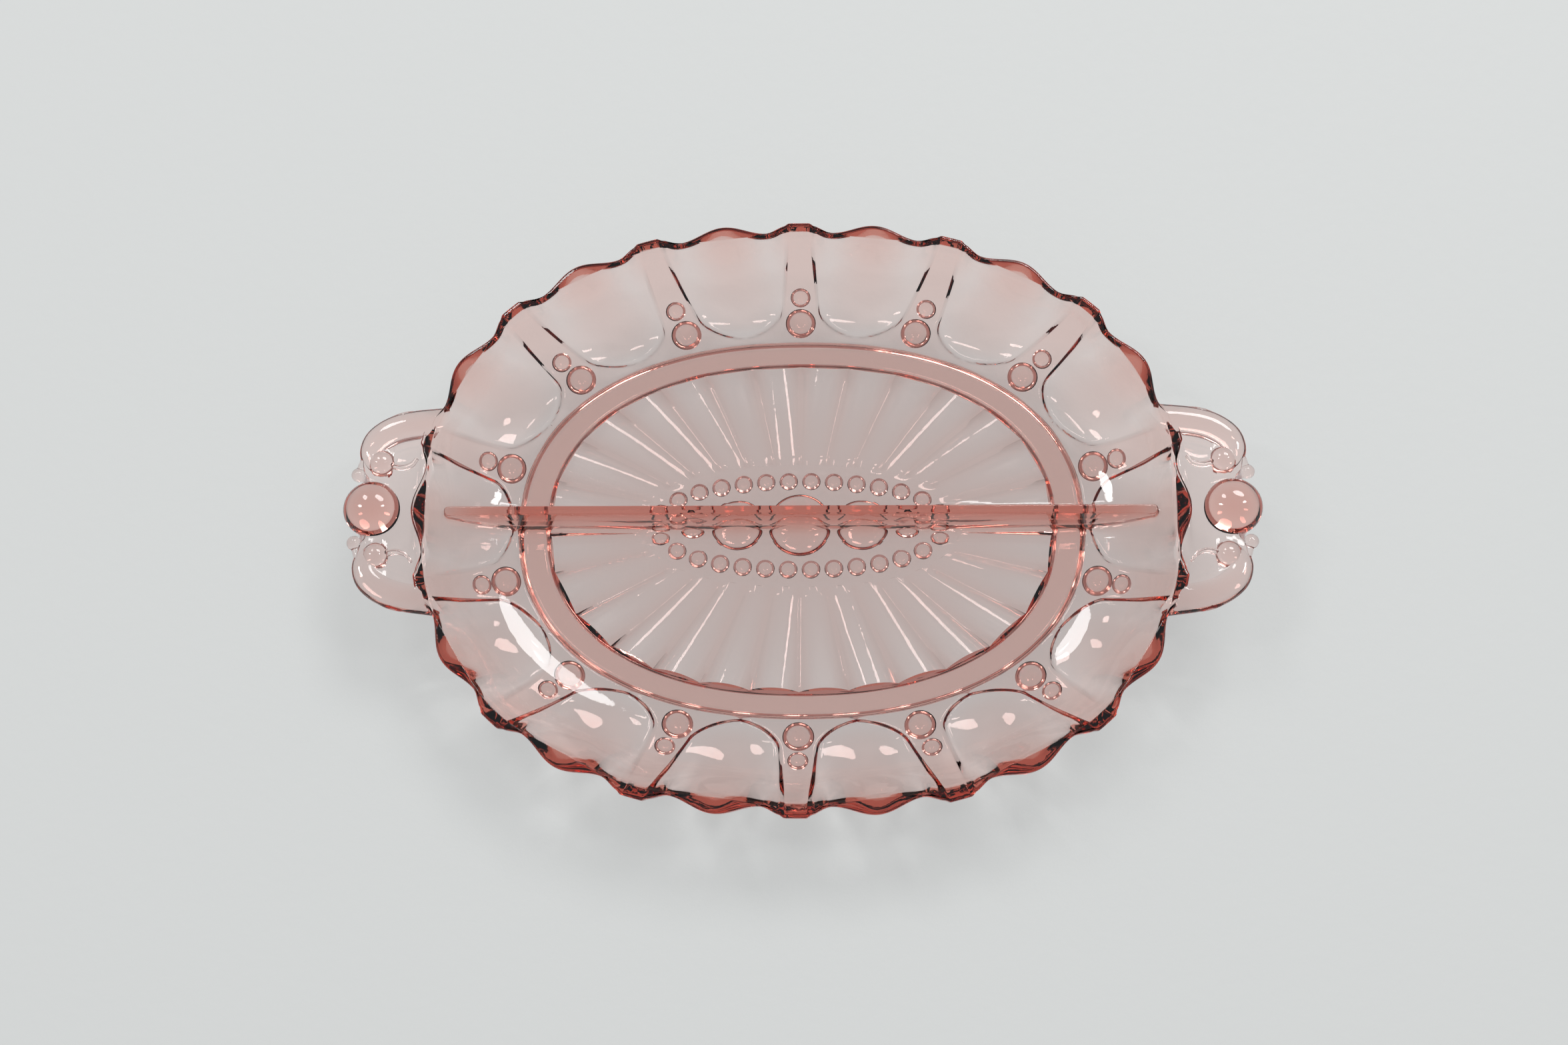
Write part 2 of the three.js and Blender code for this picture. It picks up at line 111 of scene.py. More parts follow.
PANEL_FADE_LEVEL = 0.75  # from here to the rim a panel grows shallower
PANEL_STEP_LOSS = 0.6  # the share of the step that is gone at the rim
PANEL_BULGE_LOSS = 0.55
DOWNWARD_FADE_LEVEL = 0.8  # from here to the rim the relief turns level, to meet the lip
PANEL_START = 1.6 * MM  # the U of a panel begins this far out from the foot
PANEL_BEND = 10 * MM  # and its sides are straight from here on
PANEL_HALF_WIDTH = 13.6 * MM  # at the bend
PANEL_FLARE = 0.31

LARGE_PEARL = 4.6 * MM
LARGE_PEARL_LEVEL = 0.209
SMALL_PEARL = 3.05 * MM
SMALL_PEARL_LEVEL = 0.465
PEARL_HEIGHT = 0.8  # of the pearl's radius, out of the wall
PEARL_LIFT = 0.2 * MM  # its centre lies this far outside the wall
PEARL_ROOT = 0.5  # how much of its half height a pearl keeps inside the glass

BEAD_RING = np.array([42.0, 13.3]) * MM
BEAD_RADIUS = 2.75 * MM
BEAD_HEIGHT = 0.8  # of its radius
# Each dome's place along the middle, its radius and its height.
DOMES = [(0, 9.05 * MM, 2.9 * MM), (18.5 * MM, 7.5 * MM, 2.6 * MM), (31.7 * MM, 3.45 * MM, 2.4 * MM)]

DIVIDER_HALF_TOP = 1.3 * MM
DIVIDER_DRAFT = math.tan(math.radians(4))
DIVIDER_EDGE = 0.45 * MM
DIVIDER_FILLET = 3.2 * MM
FILLET_LIFT = 0.05 * MM  # keeps the fillet's edge clear of the flat facets under it
FILLET_SKIRT = 0.3 * MM  # the divider's root spreads this far beyond the fillet
ROOT_DEPTHS = (0.25 * MM, 1.5 * MM)  # and goes this deep into the floor

# A handle is drawn with its pearl's centre at the origin and +X away from the dish.
HANDLE_PEARL = 8.1 * MM
HANDLE_PEARL_HALF_HEIGHT = 5.8 * MM
HANDLE_RISE = math.radians(5)
HANDLE_BELOW_RIM = 2.3 * MM
HANDLE_WEB = 3.0 * MM
HANDLE_HALF_SPAN = 29.6 * MM
HANDLE_SHOULDER = 14.5 * MM
SHOULDER_X = -11.0 * MM
SHOULDER_ARC = (90, -15)  # degrees
WEB_ROOT = [(-30.0 * MM, 1.5 * MM), (-19.0 * MM, 0.4 * MM)]  # x, and how far outside the half span
WEB_TIP = [(1.5 * MM, 9.5 * MM), (0.0, 6.0 * MM)]
WEB_ROUNDING = 0.8  # how far the web's edge draws in, as a share of its half thickness

# The middle lines of the bars on a handle, as x, y and radius in mm: the comma-shaped scroll, the
# horn that runs from it to the small bead, and the crease inside it.
SCROLL = [
    (-26, 27.0, 4.6), (-18, 26.0, 4.5), (-11, 25.2, 4.4), (-5.2, 23.6, 4.3),
    (-0.8, 20.6, 4.1), (0.9, 17.2, 3.7), (0.2, 14.6, 3.6), (-1.9, 13.1, 3.8),
]
HORN = [(1.2, 16.8, 1.5), (2.9, 14.2, 1.3), (4.0, 11.4, 1.2)]
CREASE = [(-4.8, 13.0, 0.7), (-7.8, 12.4, 0.6), (-10.4, 13.2, 0.5), (-11.8, 15.0, 0.35)]
SCROLL_HALF_HEIGHT = 0.66  # of the bar's own radius
HORN_HALF_HEIGHT = 1.1
CREASE_HALF_HEIGHT = 1.0
SCROLL_BALL = (3.9 * MM, 3.9 * MM, 3.3 * MM)
SCROLL_BALL_PLACE = (-1.9 * MM, 13.6 * MM)
HANDLE_BEAD = 2.1 * MM
HANDLE_BEAD_PLACE = (4.4 * MM, 10.0 * MM)

# How far a handle may reach into the wall.
SPACE_LEVEL = 0.2
SPACE_GROWTH = 1.2 * MM
SPACE_HEIGHT = 20.0 * MM

# ---- looks, light and camera -------------------------------------------------------------------------

GLASS_IOR = 1.5
GLASS_ABSORPTION = (0.9, 0.25, 0.1)
GLASS_DENSITY = 68.0  # per metre
GLASS_ROUGHNESS = (0.0, 0.05)
RIPPLE_SCALE = 160  # of the noise, per metre
RIPPLE_DETAIL = 1.5
RIPPLE_HEIGHT = 0.06 * MM
PIT_SCALE = 900
PIT_DETAIL = 1
PIT_HEIGHT = 0.006 * MM

FLOOR_HALF_SIZE = 3.0
FLOOR_COLOUR = (0.62, 0.63, 0.62)
FLOOR_GLOW = (0.74, 0.75, 0.74)  # the floor's own level, as the camera and the glass see it
FLOOR_GLOW_SHARE = 0.55
FLOOR_GRAIN_SCALE = 260
FLOOR_GRAIN_DETAIL = 4
FLOOR_GRAIN_HEIGHT = 0.12 * MM
FLOOR_ROUGHNESS = (0.6, 0.8)
FLOOR_GAP = 0.1 * MM  # air under the foot, so that light gets between glass and floor

WORLD_COLOUR = (0.9, 0.95, 1.0)
WORLD_STRENGTH = 0.45
# Each lamp's name, place, size and power in watts. All of them face the origin.
LAMPS = [
    ("key", (0.5, 1.0, 1.2), (0.8, 0.5), 11),
    ("left back", (-0.6, 0.9, 1.2), (0.3, 0.5), 4),
    ("right", (0.75, 0.3, 1.15), (0.14, 0.3), 1.8),
    ("left", (-0.8, 0.2, 1.1), (0.14, 0.3), 1.8),
]
LIGHT_BOUNCES = 28  # light that is guided along the wall needs many

CAMERA_LENS = 36.36
CAMERA_SENSOR = 36
CAMERA_TILT = math.radians(-13.44)
CAMERA_LEAN = math.radians(-2.7)
CAMERA_ROLL = math.radians(-0.47)
CAMERA_OFFSET = (0.0049, -0.002, -0.4731)  # where the dish lies, as the camera sees it

# ---- fineness of the mesh ----------------------------------------------------------------------------

STATIONS = COLUMNS * 52  # points round the outer wall
SPARSE = 2  # the underside and the inside keep one of this many
COLUMN_LINE = 0.15  # the share of the spacing where one mesh line follows the panels' sides
WIDEST_COLUMN_SHARE = 0.4  # that line follows the U of a panel down to here
SHARP_ANGLE = math.radians(60)  # gentler folds are shaded smooth
MERGE_DISTANCE = 0.0001 * MM
SLIVER_LENGTH = 0.001 * MM  # shorter edges are dissolved
OVAL_TABLE = 600  # points that an oval is measured with
CURVE_TABLE = 400  # and a face's curve
LEVEL_RANGE = (-1.5, 1.2)  # where the level of a plan point is looked for
HALVINGS = 40
SLOPE_STEP = 0.02  # of a level, to find the wall's slope under a pearl

MEDALLION_RINGS = (0.03, 0.2, 0.45, 0.7, 0.9, 1.0)
FLUTE_STEPS = 11
FOOT_SIDE_RINGS = (0.35, 0.7)
FOOT_INNER_ARC = (205, 270, 7)  # start and end in degrees, and points
FOOT_OUTER_ARC = (270, 360, 8)
OUTER_ROWS = np.linspace(0.02, 1, 54)
LIP_RINGS = (0.12, 0.3, 0.65)
LIP_STEPS = 6
LAND_EDGE_ARC = (90, 160, 4)
INNER_ROWS = np.linspace(0.985, 0, 26)
FLOOR_RINGS = (0.92, 0.75, 0.5, 0.25, 0.05)

DIVIDER_END_POINTS = 17
DIVIDER_SIDE_POINTS = 159
DIVIDER_EDGE_STEPS = 5
DIVIDER_SIDE_RINGS = (0.25, 0.5, 0.75, 1.0)
FILLET_RINGS = np.sin(np.radians(np.linspace(6, 90, 9))) ** 2

LARGE_PEARL_TURNS = 28
SMALL_PEARL_TURNS = 22
BEAD_TURNS = 20
DOME_TURNS = 40
HANDLE_PEARL_TURNS = 48
SCROLL_BALL_TURNS = 32
HANDLE_BEAD_TURNS = 24
SCROLL_FINENESS = (24, 48)  # points round a bar, and rings along it
HORN_FINENESS = (16, 14)
CREASE_FINENESS = (10, 20)
BAR_END_ANGLES = np.linspace(10, 80, 8)
SHOULDER_POINTS = 22
WEB_EDGE_STEPS = 11
SPACE_ROWS = 14

# ---- ovals -------------------------------------------------------------------------------------------


def quarter_plan(size, angle):
    """Points of a quarter superellipse at angles from its middle."""
    sum_of_powers = (np.cos(angle) / size[0]) ** OVAL_POWER + (np.sin(angle) / size[1]) ** OVAL_POWER
    radius = sum_of_powers ** (-1 / OVAL_POWER)
    return radius * np.cos(angle), radius * np.sin(angle)


def quarter_table(size):
    """Angles of a quarter superellipse, the share of its length at each, and the whole oval's length."""
    angle = np.linspace(0, math.pi / 2, OVAL_TABLE)
    x, y = quarter_plan(size, angle)
    run = np.concatenate([[0], np.cumsum(np.hypot(np.diff(x), np.diff(y)))])
    return angle, run / run[-1], run[-1] * 4


def oval_points(size, share, shift=0.0):
    """Points of an oval at shares of its length, pushed out sideways by shift."""
    share = np.asarray(share, float) % 1
    angle, run, _ = quarter_table(size)
    quadrant = np.floor(share * 4).astype(int) % 4
    local = share * 4 - np.floor(share * 4)
    odd = quadrant % 2 == 1
    local = np.where(odd, 1 - local, local)
    x, y = quarter_plan(size, np.interp(local, run, angle))
    steep_x = x ** (OVAL_POWER - 1) / size[0] ** OVAL_POWER
    steep_y = y ** (OVAL_POWER - 1) / size[1] ** OVAL_POWER
    normal = np.stack([steep_x, steep_y])
    normal /= np.linalg.norm(normal, axis=0)
    x = x + normal[0] * shift
    y = y + normal[1] * shift
    sign_x = np.where((quadrant == 1) | (quadrant == 2), -1, 1)
    sign_y = np.where(quadrant > 1, -1, 1)
    return np.stack([x * sign_x, y * sign_y], axis=-1)


def wall_size(level):
    """Half the length and half the width of the wall's oval at a level."""
    return FOOT + (RIM - FOOT) * level


def bezier(points, share):
    """A quadratic curve through (level, height), with its control point in the middle."""
    share = np.asarray(share, float)[..., None]
    a, b, c = (np.array(p, float) for p in points)
    return a * (1 - share) ** 2 + 2 * b * share * (1 - share) + c * share**2


OUTER_FACE = [
    (0, WALL_START),
    (OUTER_TURN[0], WALL_START + OUTER_TURN[1]),
    (1, RIM_HEIGHT - LIP_HEIGHT),
]
INNER_FACE = [
    (-FLOOR_INSET / WALL_REACH, FLOOR_HEIGHT),
    (INNER_TURN[0], FLOOR_HEIGHT + INNER_TURN[1]),
    (1 - LAND_WIDTH / WALL_REACH, RIM_HEIGHT),
]


def face_height(face, level):
    """The height of a face of the wall at a level."""
    curve = bezier(face, np.linspace(0, 1, CURVE_TABLE))
    return np.interp(level, curve[:, 0], curve[:, 1])


def smooth(low, high, value):
    """0 up to low, 1 from high on, and an even change between them."""
    t = np.clip((value - low) / (high - low), 0, 1)
    return t * t * (3 - 2 * t)


# ---- the relief round the wall -----------------------------------------------------------------------

SHARE = np.arange(STATIONS) / STATIONS  # of the way round, from +X
SPACING = (SHARE - 0.25) * COLUMNS
FROM_COLUMN = SPACING - np.round(SPACING)  # -0.5 to 0.5, 0 on a column


def panel_half_width(reach):
    """Half a panel's width, reach metres out from the foot's outer edge."""
    straight = PANEL_HALF_WIDTH + PANEL_FLARE * (reach - PANEL_BEND)
    inside = np.clip((PANEL_BEND - reach) / (PANEL_BEND - PANEL_START), 0, 1)
    return straight * math.sqrt(max(1 - inside**2, 0))


def column_half_share(level):
    """Half a column's width as a share of the spacing: where the panels beside it begin."""
    spacing = quarter_table(wall_size(level))[2] / COLUMNS
    share = 0.5 - panel_half_width(level * WALL_REACH) / spacing
    return min(max(share, COLUMN_HALF_SHARE), WIDEST_COLUMN_SHARE)


def warped(level):
    """Distances from the column, moved so that one mesh line follows the panels' sides."""
    border = column_half_share(level)
    away = np.abs(FROM_COLUMN)
    near = away * border / COLUMN_LINE
    far = 0.5 - (0.5 - away) * (0.5 - border) / (0.5 - COLUMN_LINE)
    return np.sign(FROM_COLUMN) * np.where(away < COLUMN_LINE, near, far)


def scallop(away):
    """0 on a column and at a panel's middle, 1 in the valleys between."""
    near = np.clip((away - COLUMN_HALF_SHARE) / (VALLEY_SHARE - COLUMN_HALF_SHARE), 0, 1)
    far = np.clip((0.5 - away) / (0.5 - VALLEY_SHARE), 0, 1)
    wave = np.where(away < VALLEY_SHARE, near, far)
    return 0.5 * (1 - np.cos(math.pi * wave))


def relief(level, from_column):
    """How far the outer face stands out from the plain wall, and its shift in plan by the scallop."""
    reach = level * WALL_REACH
    spacing = quarter_table(wall_size(level))[2] / COLUMNS
    away = np.abs(from_column)
    across = (0.5 - away) * spacing  # from the panel's middle
    half = panel_half_width(reach)
    near = 0.05 * MM
    slope = (panel_half_width(reach + near) - panel_half_width(reach - near)) / (2 * near)
    inside = (half - across) / math.hypot(1, slope)
    bevel = PANEL_BEVEL + PANEL_BEND_BEVEL * (1 - smooth(*PANEL_BEND_LEVELS, level))
    mask = smooth(0, bevel, inside) if half > 0 else np.zeros_like(away)
    fade = smooth(PANEL_FADE_LEVEL, 1, level)
    depth = PANEL_STEP * (1 - PANEL_STEP_LOSS * fade)
    crown = 1 - np.clip(across / max(half, MM), 0, 1) ** 2
    bulge = PANEL_BULGE * crown * smooth(0, BULGE_FULL_LEVEL, level) * (1 - PANEL_BULGE_LOSS * fade)
    out = mask * (bulge - depth)
    side = -SCALLOP_DEPTH * scallop(away) * smooth(SCALLOP_START, 1, level) ** SCALLOP_POWER
    return out, side


# ---- mesh helpers ------------------------------------------------------------------------------------


def link_object(name, data):
    """A new object in the scene."""
    obj = bpy.data.objects.new(name, data)
    bpy.context.scene.collection.objects.link(obj)
    return obj


def mesh_object(name, vertices, faces):
    mesh = bpy.data.meshes.new(name)
    mesh.from_pydata([tuple(v) for v in vertices], [], [tuple(f) for f in faces])
    mesh.validate()
    return link_object(name, mesh)


def ring_faces(rows, stations):
    """Quads between closed rings of points that follow each other."""
    a = np.arange(stations)
    b = (a + 1) % stations
    faces = []
    for row in range(rows - 1):
        low, high = row * stations, (row + 1) * stations
        faces.append(np.stack([low + a, low + b, high + b, high + a], axis=1))
    return np.concatenate(faces)


def face_outwards(obj):
    """Merges points that coincide and turns every face out."""
    edit = bmesh.new()
    edit.from_mesh(obj.data)
    bmesh.ops.remove_doubles(edit, verts=edit.verts, dist=MERGE_DISTANCE)
    bmesh.ops.recalc_face_normals(edit, faces=edit.faces)
    if edit.calc_volume(signed=True) < 0:
        bmesh.ops.reverse_faces(edit, faces=edit.faces)
    edit.to_mesh(obj.data)
    edit.free()
    return obj


def combine(target, tool, operation):
    """Joins tool to target, or cuts it away, as one solid, and removes tool."""
    modifier = target.modifiers.new("join", "BOOLEAN")
    modifier.operation = operation
    modifier.solver = "MANIFOLD"
    modifier.object = tool
    depsgraph = bpy.context.evaluated_depsgraph_get()
    joined = bpy.data.meshes.new_from_object(target.evaluated_get(depsgraph), depsgraph=depsgraph)
    target.modifiers.clear()
    old = target.data
    target.data = joined
    bpy.data.meshes.remove(old)
    bpy.data.objects.remove(tool)
    return target


def join_apart(name, pieces):
    """One object from pieces that don't touch each other."""
    vertices, faces, start = [], [], 0
    for piece in pieces:
        vertices += [v.co.copy() for v in piece.data.vertices]
        faces += [tuple(start + i for i in p.vertices) for p in piece.data.polygons]
        start = len(vertices)
        bpy.data.objects.remove(piece)
    return mesh_object(name, vertices, faces)


def ball(centre, radii, turns, matrix=None, root=1.0):
    """A closed ball with half axes radii, turned by matrix; root flattens its lower half."""
    edit = bmesh.new()
    bmesh.ops.create_uvsphere(edit, u_segments=turns, v_segments=turns // 2, radius=1)
    for vertex in edit.verts:
        vertex.co.z *= root if vertex.co.z < 0 else 1
    scale = Matrix.Diagonal((*radii, 1))
    turn = matrix.to_4x4() if matrix else Matrix.Identity(4)
    place = Matrix.Translation(centre) @ turn @ scale
    bmesh.ops.transform(edit, matrix=place, verts=edit.verts)
    mesh = bpy.data.meshes.new("ball")
    edit.to_mesh(mesh)
    edit.free()
    return link_object("ball", mesh)


# ---- the bowl ----------------------------------------------------------------------------------------


class Rows:
    """Rings of points from the middle of the underside, over the rim, to the middle of the floor."""

    def __init__(self):
        self.rings = []
        self.step = SPARSE

    def add(self, size, height, shift=0.0, share=SHARE):
        plan = oval_points(size, share, shift)
        ring = np.column_stack([plan, np.broadcast_to(height, (STATIONS,))])
        self.rings.append(ring[:: self.step])

    def arc(self, size, centre_shift, radius, start, end, steps):
        """A rounded edge that stands on the ground, seen in section: degrees, 0 outwards and 90 up."""
        for angle in np.radians(np.linspace(start, end, steps)):
            shift = centre_shift + radius * math.cos(angle)
            self.add(size, radius + radius * math.sin(angle), shift)


def underside_rows(rows):
    """The medallion, the flutes and the foot ring."""
    for scale in MEDALLION_RINGS:
        rows.add(MEDALLION * scale, MEDALLION_HEIGHT)
    across = (SHARE * FLUTES) % 1
    hollow = 4 * across * (1 - across)
    for step in range(FLUTE_STEPS + 1):
        part = step / FLUTE_STEPS
        size = MEDALLION + (FOOT_INNER - MEDALLION) * part
        width = quarter_table(size)[2] / FLUTES
        height = BASE_UNDERSIDE + hollow * width**2 / (8 * FLUTE_RADIUS)
        start_shift = (MEDALLION_HEIGHT - height) * MEDALLION_SLOPE + MEDALLION_EDGE
        end_shift = -height * FOOT_DRAFT
        rows.add(size, height, start_shift * (1 - part) ** 3 + end_shift * part**3)
    for part in FOOT_SIDE_RINGS:
        low = FOOT_EDGE + (height - FOOT_EDGE) * (1 - part)
        rows.add(FOOT_INNER, low, -low * FOOT_DRAFT)
    rows.arc(FOOT_INNER, FOOT_EDGE * FOOT_INNER_OFFSET, FOOT_EDGE, *FOOT_INNER_ARC)
    rows.arc(FOOT, -FOOT_EDGE, FOOT_EDGE, *FOOT_OUTER_ARC)
    rows.add(FOOT, (FOOT_EDGE + FOOT_TOP) / 2)
    rows.add(FOOT, FOOT_TOP)


def outer_face_rows(rows):
    """The outer face with its panels and scallops; gives what the lip has to follow."""
    curve = bezier(OUTER_FACE, OUTER_ROWS)
    for row, (level, height) in enumerate(curve):
        after = curve[min(row + 1, len(curve) - 1)]
        before = curve[max(row - 1, 0)]
        run, rise = (after[0] - before[0]) * WALL_REACH, after[1] - before[1]
        length = math.hypot(run, rise)
        out_plan, out_down = rise / length, run / length
        from_column = warped(level)
        out, side = relief(level, from_column)
        down = out * out_down * (1 - smooth(DOWNWARD_FADE_LEVEL, 1, level))
        share = 0.25 + (np.round(SPACING) + from_column) / COLUMNS
        rows.add(wall_size(level), height - down, out * out_plan + side, share)
    return out * out_plan + side, share


def rim_rows(rows, edge_shift, share):
    """The lip's rounding, the flat land and its inner edge."""
    for part in LIP_RINGS:
        rows.add(RIM, RIM_HEIGHT - LIP_HEIGHT + (LIP_HEIGHT - LIP_RADIUS) * part, edge_shift, share)
    for angle in np.radians(np.linspace(0, 90, LIP_STEPS)):
        height = RIM_HEIGHT - LIP_RADIUS * (1 - math.sin(angle))
        rows.add(RIM, height, edge_shift - LIP_RADIUS * (1 - math.cos(angle)), share)
    middle = (1 - np.cos(2 * math.pi * FROM_COLUMN)) / 2
    swell = -LAND_SWELL * middle
    inner = RIM - LAND_WIDTH
    for angle in np.radians(np.linspace(*LAND_EDGE_ARC)):
        height = RIM_HEIGHT - LAND_EDGE * (1 - math.sin(angle))
        rows.add(inner, height, swell + LAND_EDGE * (1 + math.cos(angle)), SHARE)
    return swell


def inside_rows(rows, swell):
    """The compartments' smooth surface, from the land down to the middle of the floor."""
    for level, height in bezier(INNER_FACE, INNER_ROWS):
        fade = smooth(*LAND_FADE_LEVELS, level)
        rows.add(wall_size(level), height, swell * fade)
    floor = wall_size(INNER_FACE[0][0])
    for scale in FLOOR_RINGS:
        rows.add(floor * scale, FLOOR_HEIGHT)


def bridge(low, low_count, high, high_count):
    """Faces between two closed rings, of which one may have SPARSE times the points of the other."""
    faces = []
    if low_count == high_count:
        for i in range(low_count):
            j = (i + 1) % low_count
            faces.append([low + i, low + j, high + j, high + i])
        return faces
    few, many = (low, high) if low_count < high_count else (high, low)
    count = min(low_count, high_count)
    for i in range(count):
        j = (i + 1) % count
        fan = [many + (SPARSE * i + k) % (SPARSE * count) for k in range(SPARSE + 1)]
        half = SPARSE // 2
        faces += [[few + i, fan[k], fan[k + 1]] for k in range(half)]
        faces.append([few + i, fan[half], few + j])
        faces += [[few + j, fan[k], fan[k + 1]] for k in range(half, SPARSE)]
    return faces


def build_bowl():
    """The dish without its divider, pearls and handles."""
    rows = Rows()
    underside_rows(rows)
    rows.step = 1
    edge_shift, share = outer_face_rows(rows)
    swell = rim_rows(rows, edge_shift, share)
    rows.step = SPARSE
    inside_rows(rows, swell)
    starts = np.cumsum([0] + [len(ring) for ring in rows.rings])
    faces = []
    for row in range(len(rows.rings) - 1):
        faces += bridge(starts[row], len(rows.rings[row]), starts[row + 1], len(rows.rings[row + 1]))
    first, last = starts[0], starts[-2]
    bottom, top = starts[-1], starts[-1] + 1
    vertices = np.concatenate([*rows.rings, [[0, 0, MEDALLION_HEIGHT], [0, 0, FLOOR_HEIGHT]]])
    count = STATIONS // SPARSE
    for i in range(count):
        j = (i + 1) % count
        faces.append([bottom, first + j, first + i])
        faces.append([top, last + i, last + j])
    return face_outwards(mesh_object("dish_glass", vertices, faces))


# ---- the divider -------------------------------------------------------------------------------------


def inside_height(x, y):
    """The height of the compartments' surface at a plan point."""
    low = np.full(np.shape(x), LEVEL_RANGE[0])
    high = np.full(np.shape(x), LEVEL_RANGE[1])
    for _ in range(HALVINGS):
        level = (low + high) / 2
        half_length = FOOT[0] + (RIM - FOOT)[0] * level
        half_width = FOOT[1] + (RIM - FOOT)[1] * level
        along = (np.abs(x) / half_length) ** OVAL_POWER
        across = (np.abs(y) / half_width) ** OVAL_POWER
        beyond = along + across > 1
        low = np.where(beyond, level, low)
        high = np.where(beyond, high, level)
    return face_height(INNER_FACE, (low + high) / 2)


def stadium(half_width, half_length, grow):
    """A long slot outline with round ends, grown sideways by grow, with its normals."""
    straight = half_length - half_width
    ends = np.radians(np.linspace(-90, 90, DIVIDER_END_POINTS))
    run = np.linspace(-straight, straight, DIVIDER_SIDE_POINTS + 2)[1:-1]
    radius = half_width + grow
    normals = [(math.cos(a), math.sin(a)) for a in ends]
    centres = [(straight, 0.0)] * len(ends)
    normals += [(0, 1)] * len(run)
    centres += [(x, 0.0) for x in run[::-1]]
    normals += [(-math.cos(a), -math.sin(a)) for a in ends]
    centres += [(-straight, 0.0)] * len(ends)
    normals += [(0, -1)] * len(run)
    centres += [(x, 0.0) for x in run]
    normals, centres = np.array(normals), np.array(centres)
    return centres + normals * radius, normals


def stadium_cap(start):
    """Faces that close a ring of stadium points, as a ladder from its lower to its upper side."""
    end, side = DIVIDER_END_POINTS, DIVIDER_SIDE_POINTS
    right = list(range(start, start + end))
    upper_side = list(range(start + end, start + end + side))
    left = list(range(start + end + side, start + 2 * end + side))
    lower_side = list(range(start + 2 * end + side, start + 2 * (end + side)))
    upper = [right[-1], *upper_side, left[0]]
    lower = [right[0], *lower_side[::-1], left[-1]]
    faces = [[upper[i], upper[i + 1], lower[i + 1], lower[i]] for i in range(len(upper) - 1)]
    for points in (right, left):
        for i in range(end // 2):
            j = end - 1 - i
            rung = [points[i], points[i + 1], points[j - 1], points[j]]
            faces.append(rung if j - i > 2 else [points[i], points[i + 1], points[j]])
    return faces


def build_divider():
    """The divider, with a fillet that follows the compartments' surface all round its foot."""
    rings = []
    for angle in np.radians(np.linspace(90, 0, DIVIDER_EDGE_STEPS)):
        inset = DIVIDER_EDGE * (1 - math.cos(angle))
        plan, _ = stadium(DIVIDER_HALF_TOP, DIVIDER_HALF_LENGTH, -inset)
        height = DIVIDER_TOP - DIVIDER_EDGE * (1 - math.sin(angle))
        rings.append(np.column_stack([plan, np.full(len(plan), height)]))
    plan, normals = stadium(DIVIDER_HALF_TOP, DIVIDER_HALF_LENGTH, 0)
    surface = inside_height(plan[:, 0], plan[:, 1])
    fillet_top = np.minimum(surface + DIVIDER_FILLET, DIVIDER_TOP - DIVIDER_EDGE)
    reach = np.minimum(fillet_top - surface, DIVIDER_FILLET)[:, None]
    drop = DIVIDER_TOP - DIVIDER_EDGE - fillet_top
    for part in DIVIDER_SIDE_RINGS:
        height = DIVIDER_TOP - DIVIDER_EDGE - drop * part
        rings.append(np.column_stack([plan + normals * (drop * part * DIVIDER_DRAFT)[:, None], height]))
    foot = plan + normals * (drop * DIVIDER_DRAFT)[:, None]
    for part in FILLET_RINGS:
        spot = foot + normals * reach * part
        above = reach[:, 0] * (1 - np.sqrt(1 - (1 - part) ** 2))
        height = inside_height(spot[:, 0], spot[:, 1]) + above + FILLET_LIFT * part
        rings.append(np.column_stack([spot, height]))
    for below in ROOT_DEPTHS:
        spot = foot + normals * (reach + FILLET_SKIRT)
        rings.append(np.column_stack([spot, inside_height(spot[:, 0], spot[:, 1]) - below]))
    vertices = np.concatenate(rings)
    faces = ring_faces(len(rings), len(plan)).tolist()
    faces += stadium_cap(0) + stadium_cap(len(vertices) - len(plan))
    return face_outwards(mesh_object("divider", vertices, faces))


# ---- pearls and beads --------------------------------------------------------------------------------


def wall_pearls():
    """A large and a small pearl on each column, square to the wall."""
    pearls = []
    for level, radius, turns in (
        (LARGE_PEARL_LEVEL, LARGE_PEARL, LARGE_PEARL_TURNS),
        (SMALL_PEARL_LEVEL, SMALL_PEARL, SMALL_PEARL_TURNS),
    ):
        shares = (np.arange(COLUMNS) + 0.5) / COLUMNS
        spots = oval_points(wall_size(level), shares)
        height = face_height(OUTER_FACE, level)
        rise = face_height(OUTER_FACE, level + SLOPE_STEP) - height
        slope = math.atan2(rise, SLOPE_STEP * WALL_REACH)
        for x, y in spots:
            out = Vector((x, y, 0)).normalized()
            down = (out * math.sin(slope) - Vector((0, 0, math.cos(slope)))).normalized()
            turn = down.to_track_quat("Z", "Y").to_matrix()
            centre = Vector((x, y, height)) + down * PEARL_LIFT
            pearls.append(ball(centre, (radius, radius, radius * PEARL_HEIGHT), turns, turn, PEARL_ROOT))
    return pearls


def medallion_beads():
    """The ring of beads on the underside, and the row of domes inside it."""
    beads = []
    shares = (np.arange(FLUTES) + 0.5) / FLUTES
    for x, y in oval_points(BEAD_RING, shares):
        radii = (BEAD_RADIUS, BEAD_RADIUS, BEAD_RADIUS * BEAD_HEIGHT)
        beads.append(ball((x, y, MEDALLION_HEIGHT), radii, BEAD_TURNS))
    for x, radius, height in DOMES:
        for side in (1, -1) if x else (1,):
            radii = (radius, radius, height)
            beads.append(ball((side * x, 0, MEDALLION_HEIGHT), radii, DOME_TURNS))
    return beads


# ---- the handles -------------------------------------------------------------------------------------


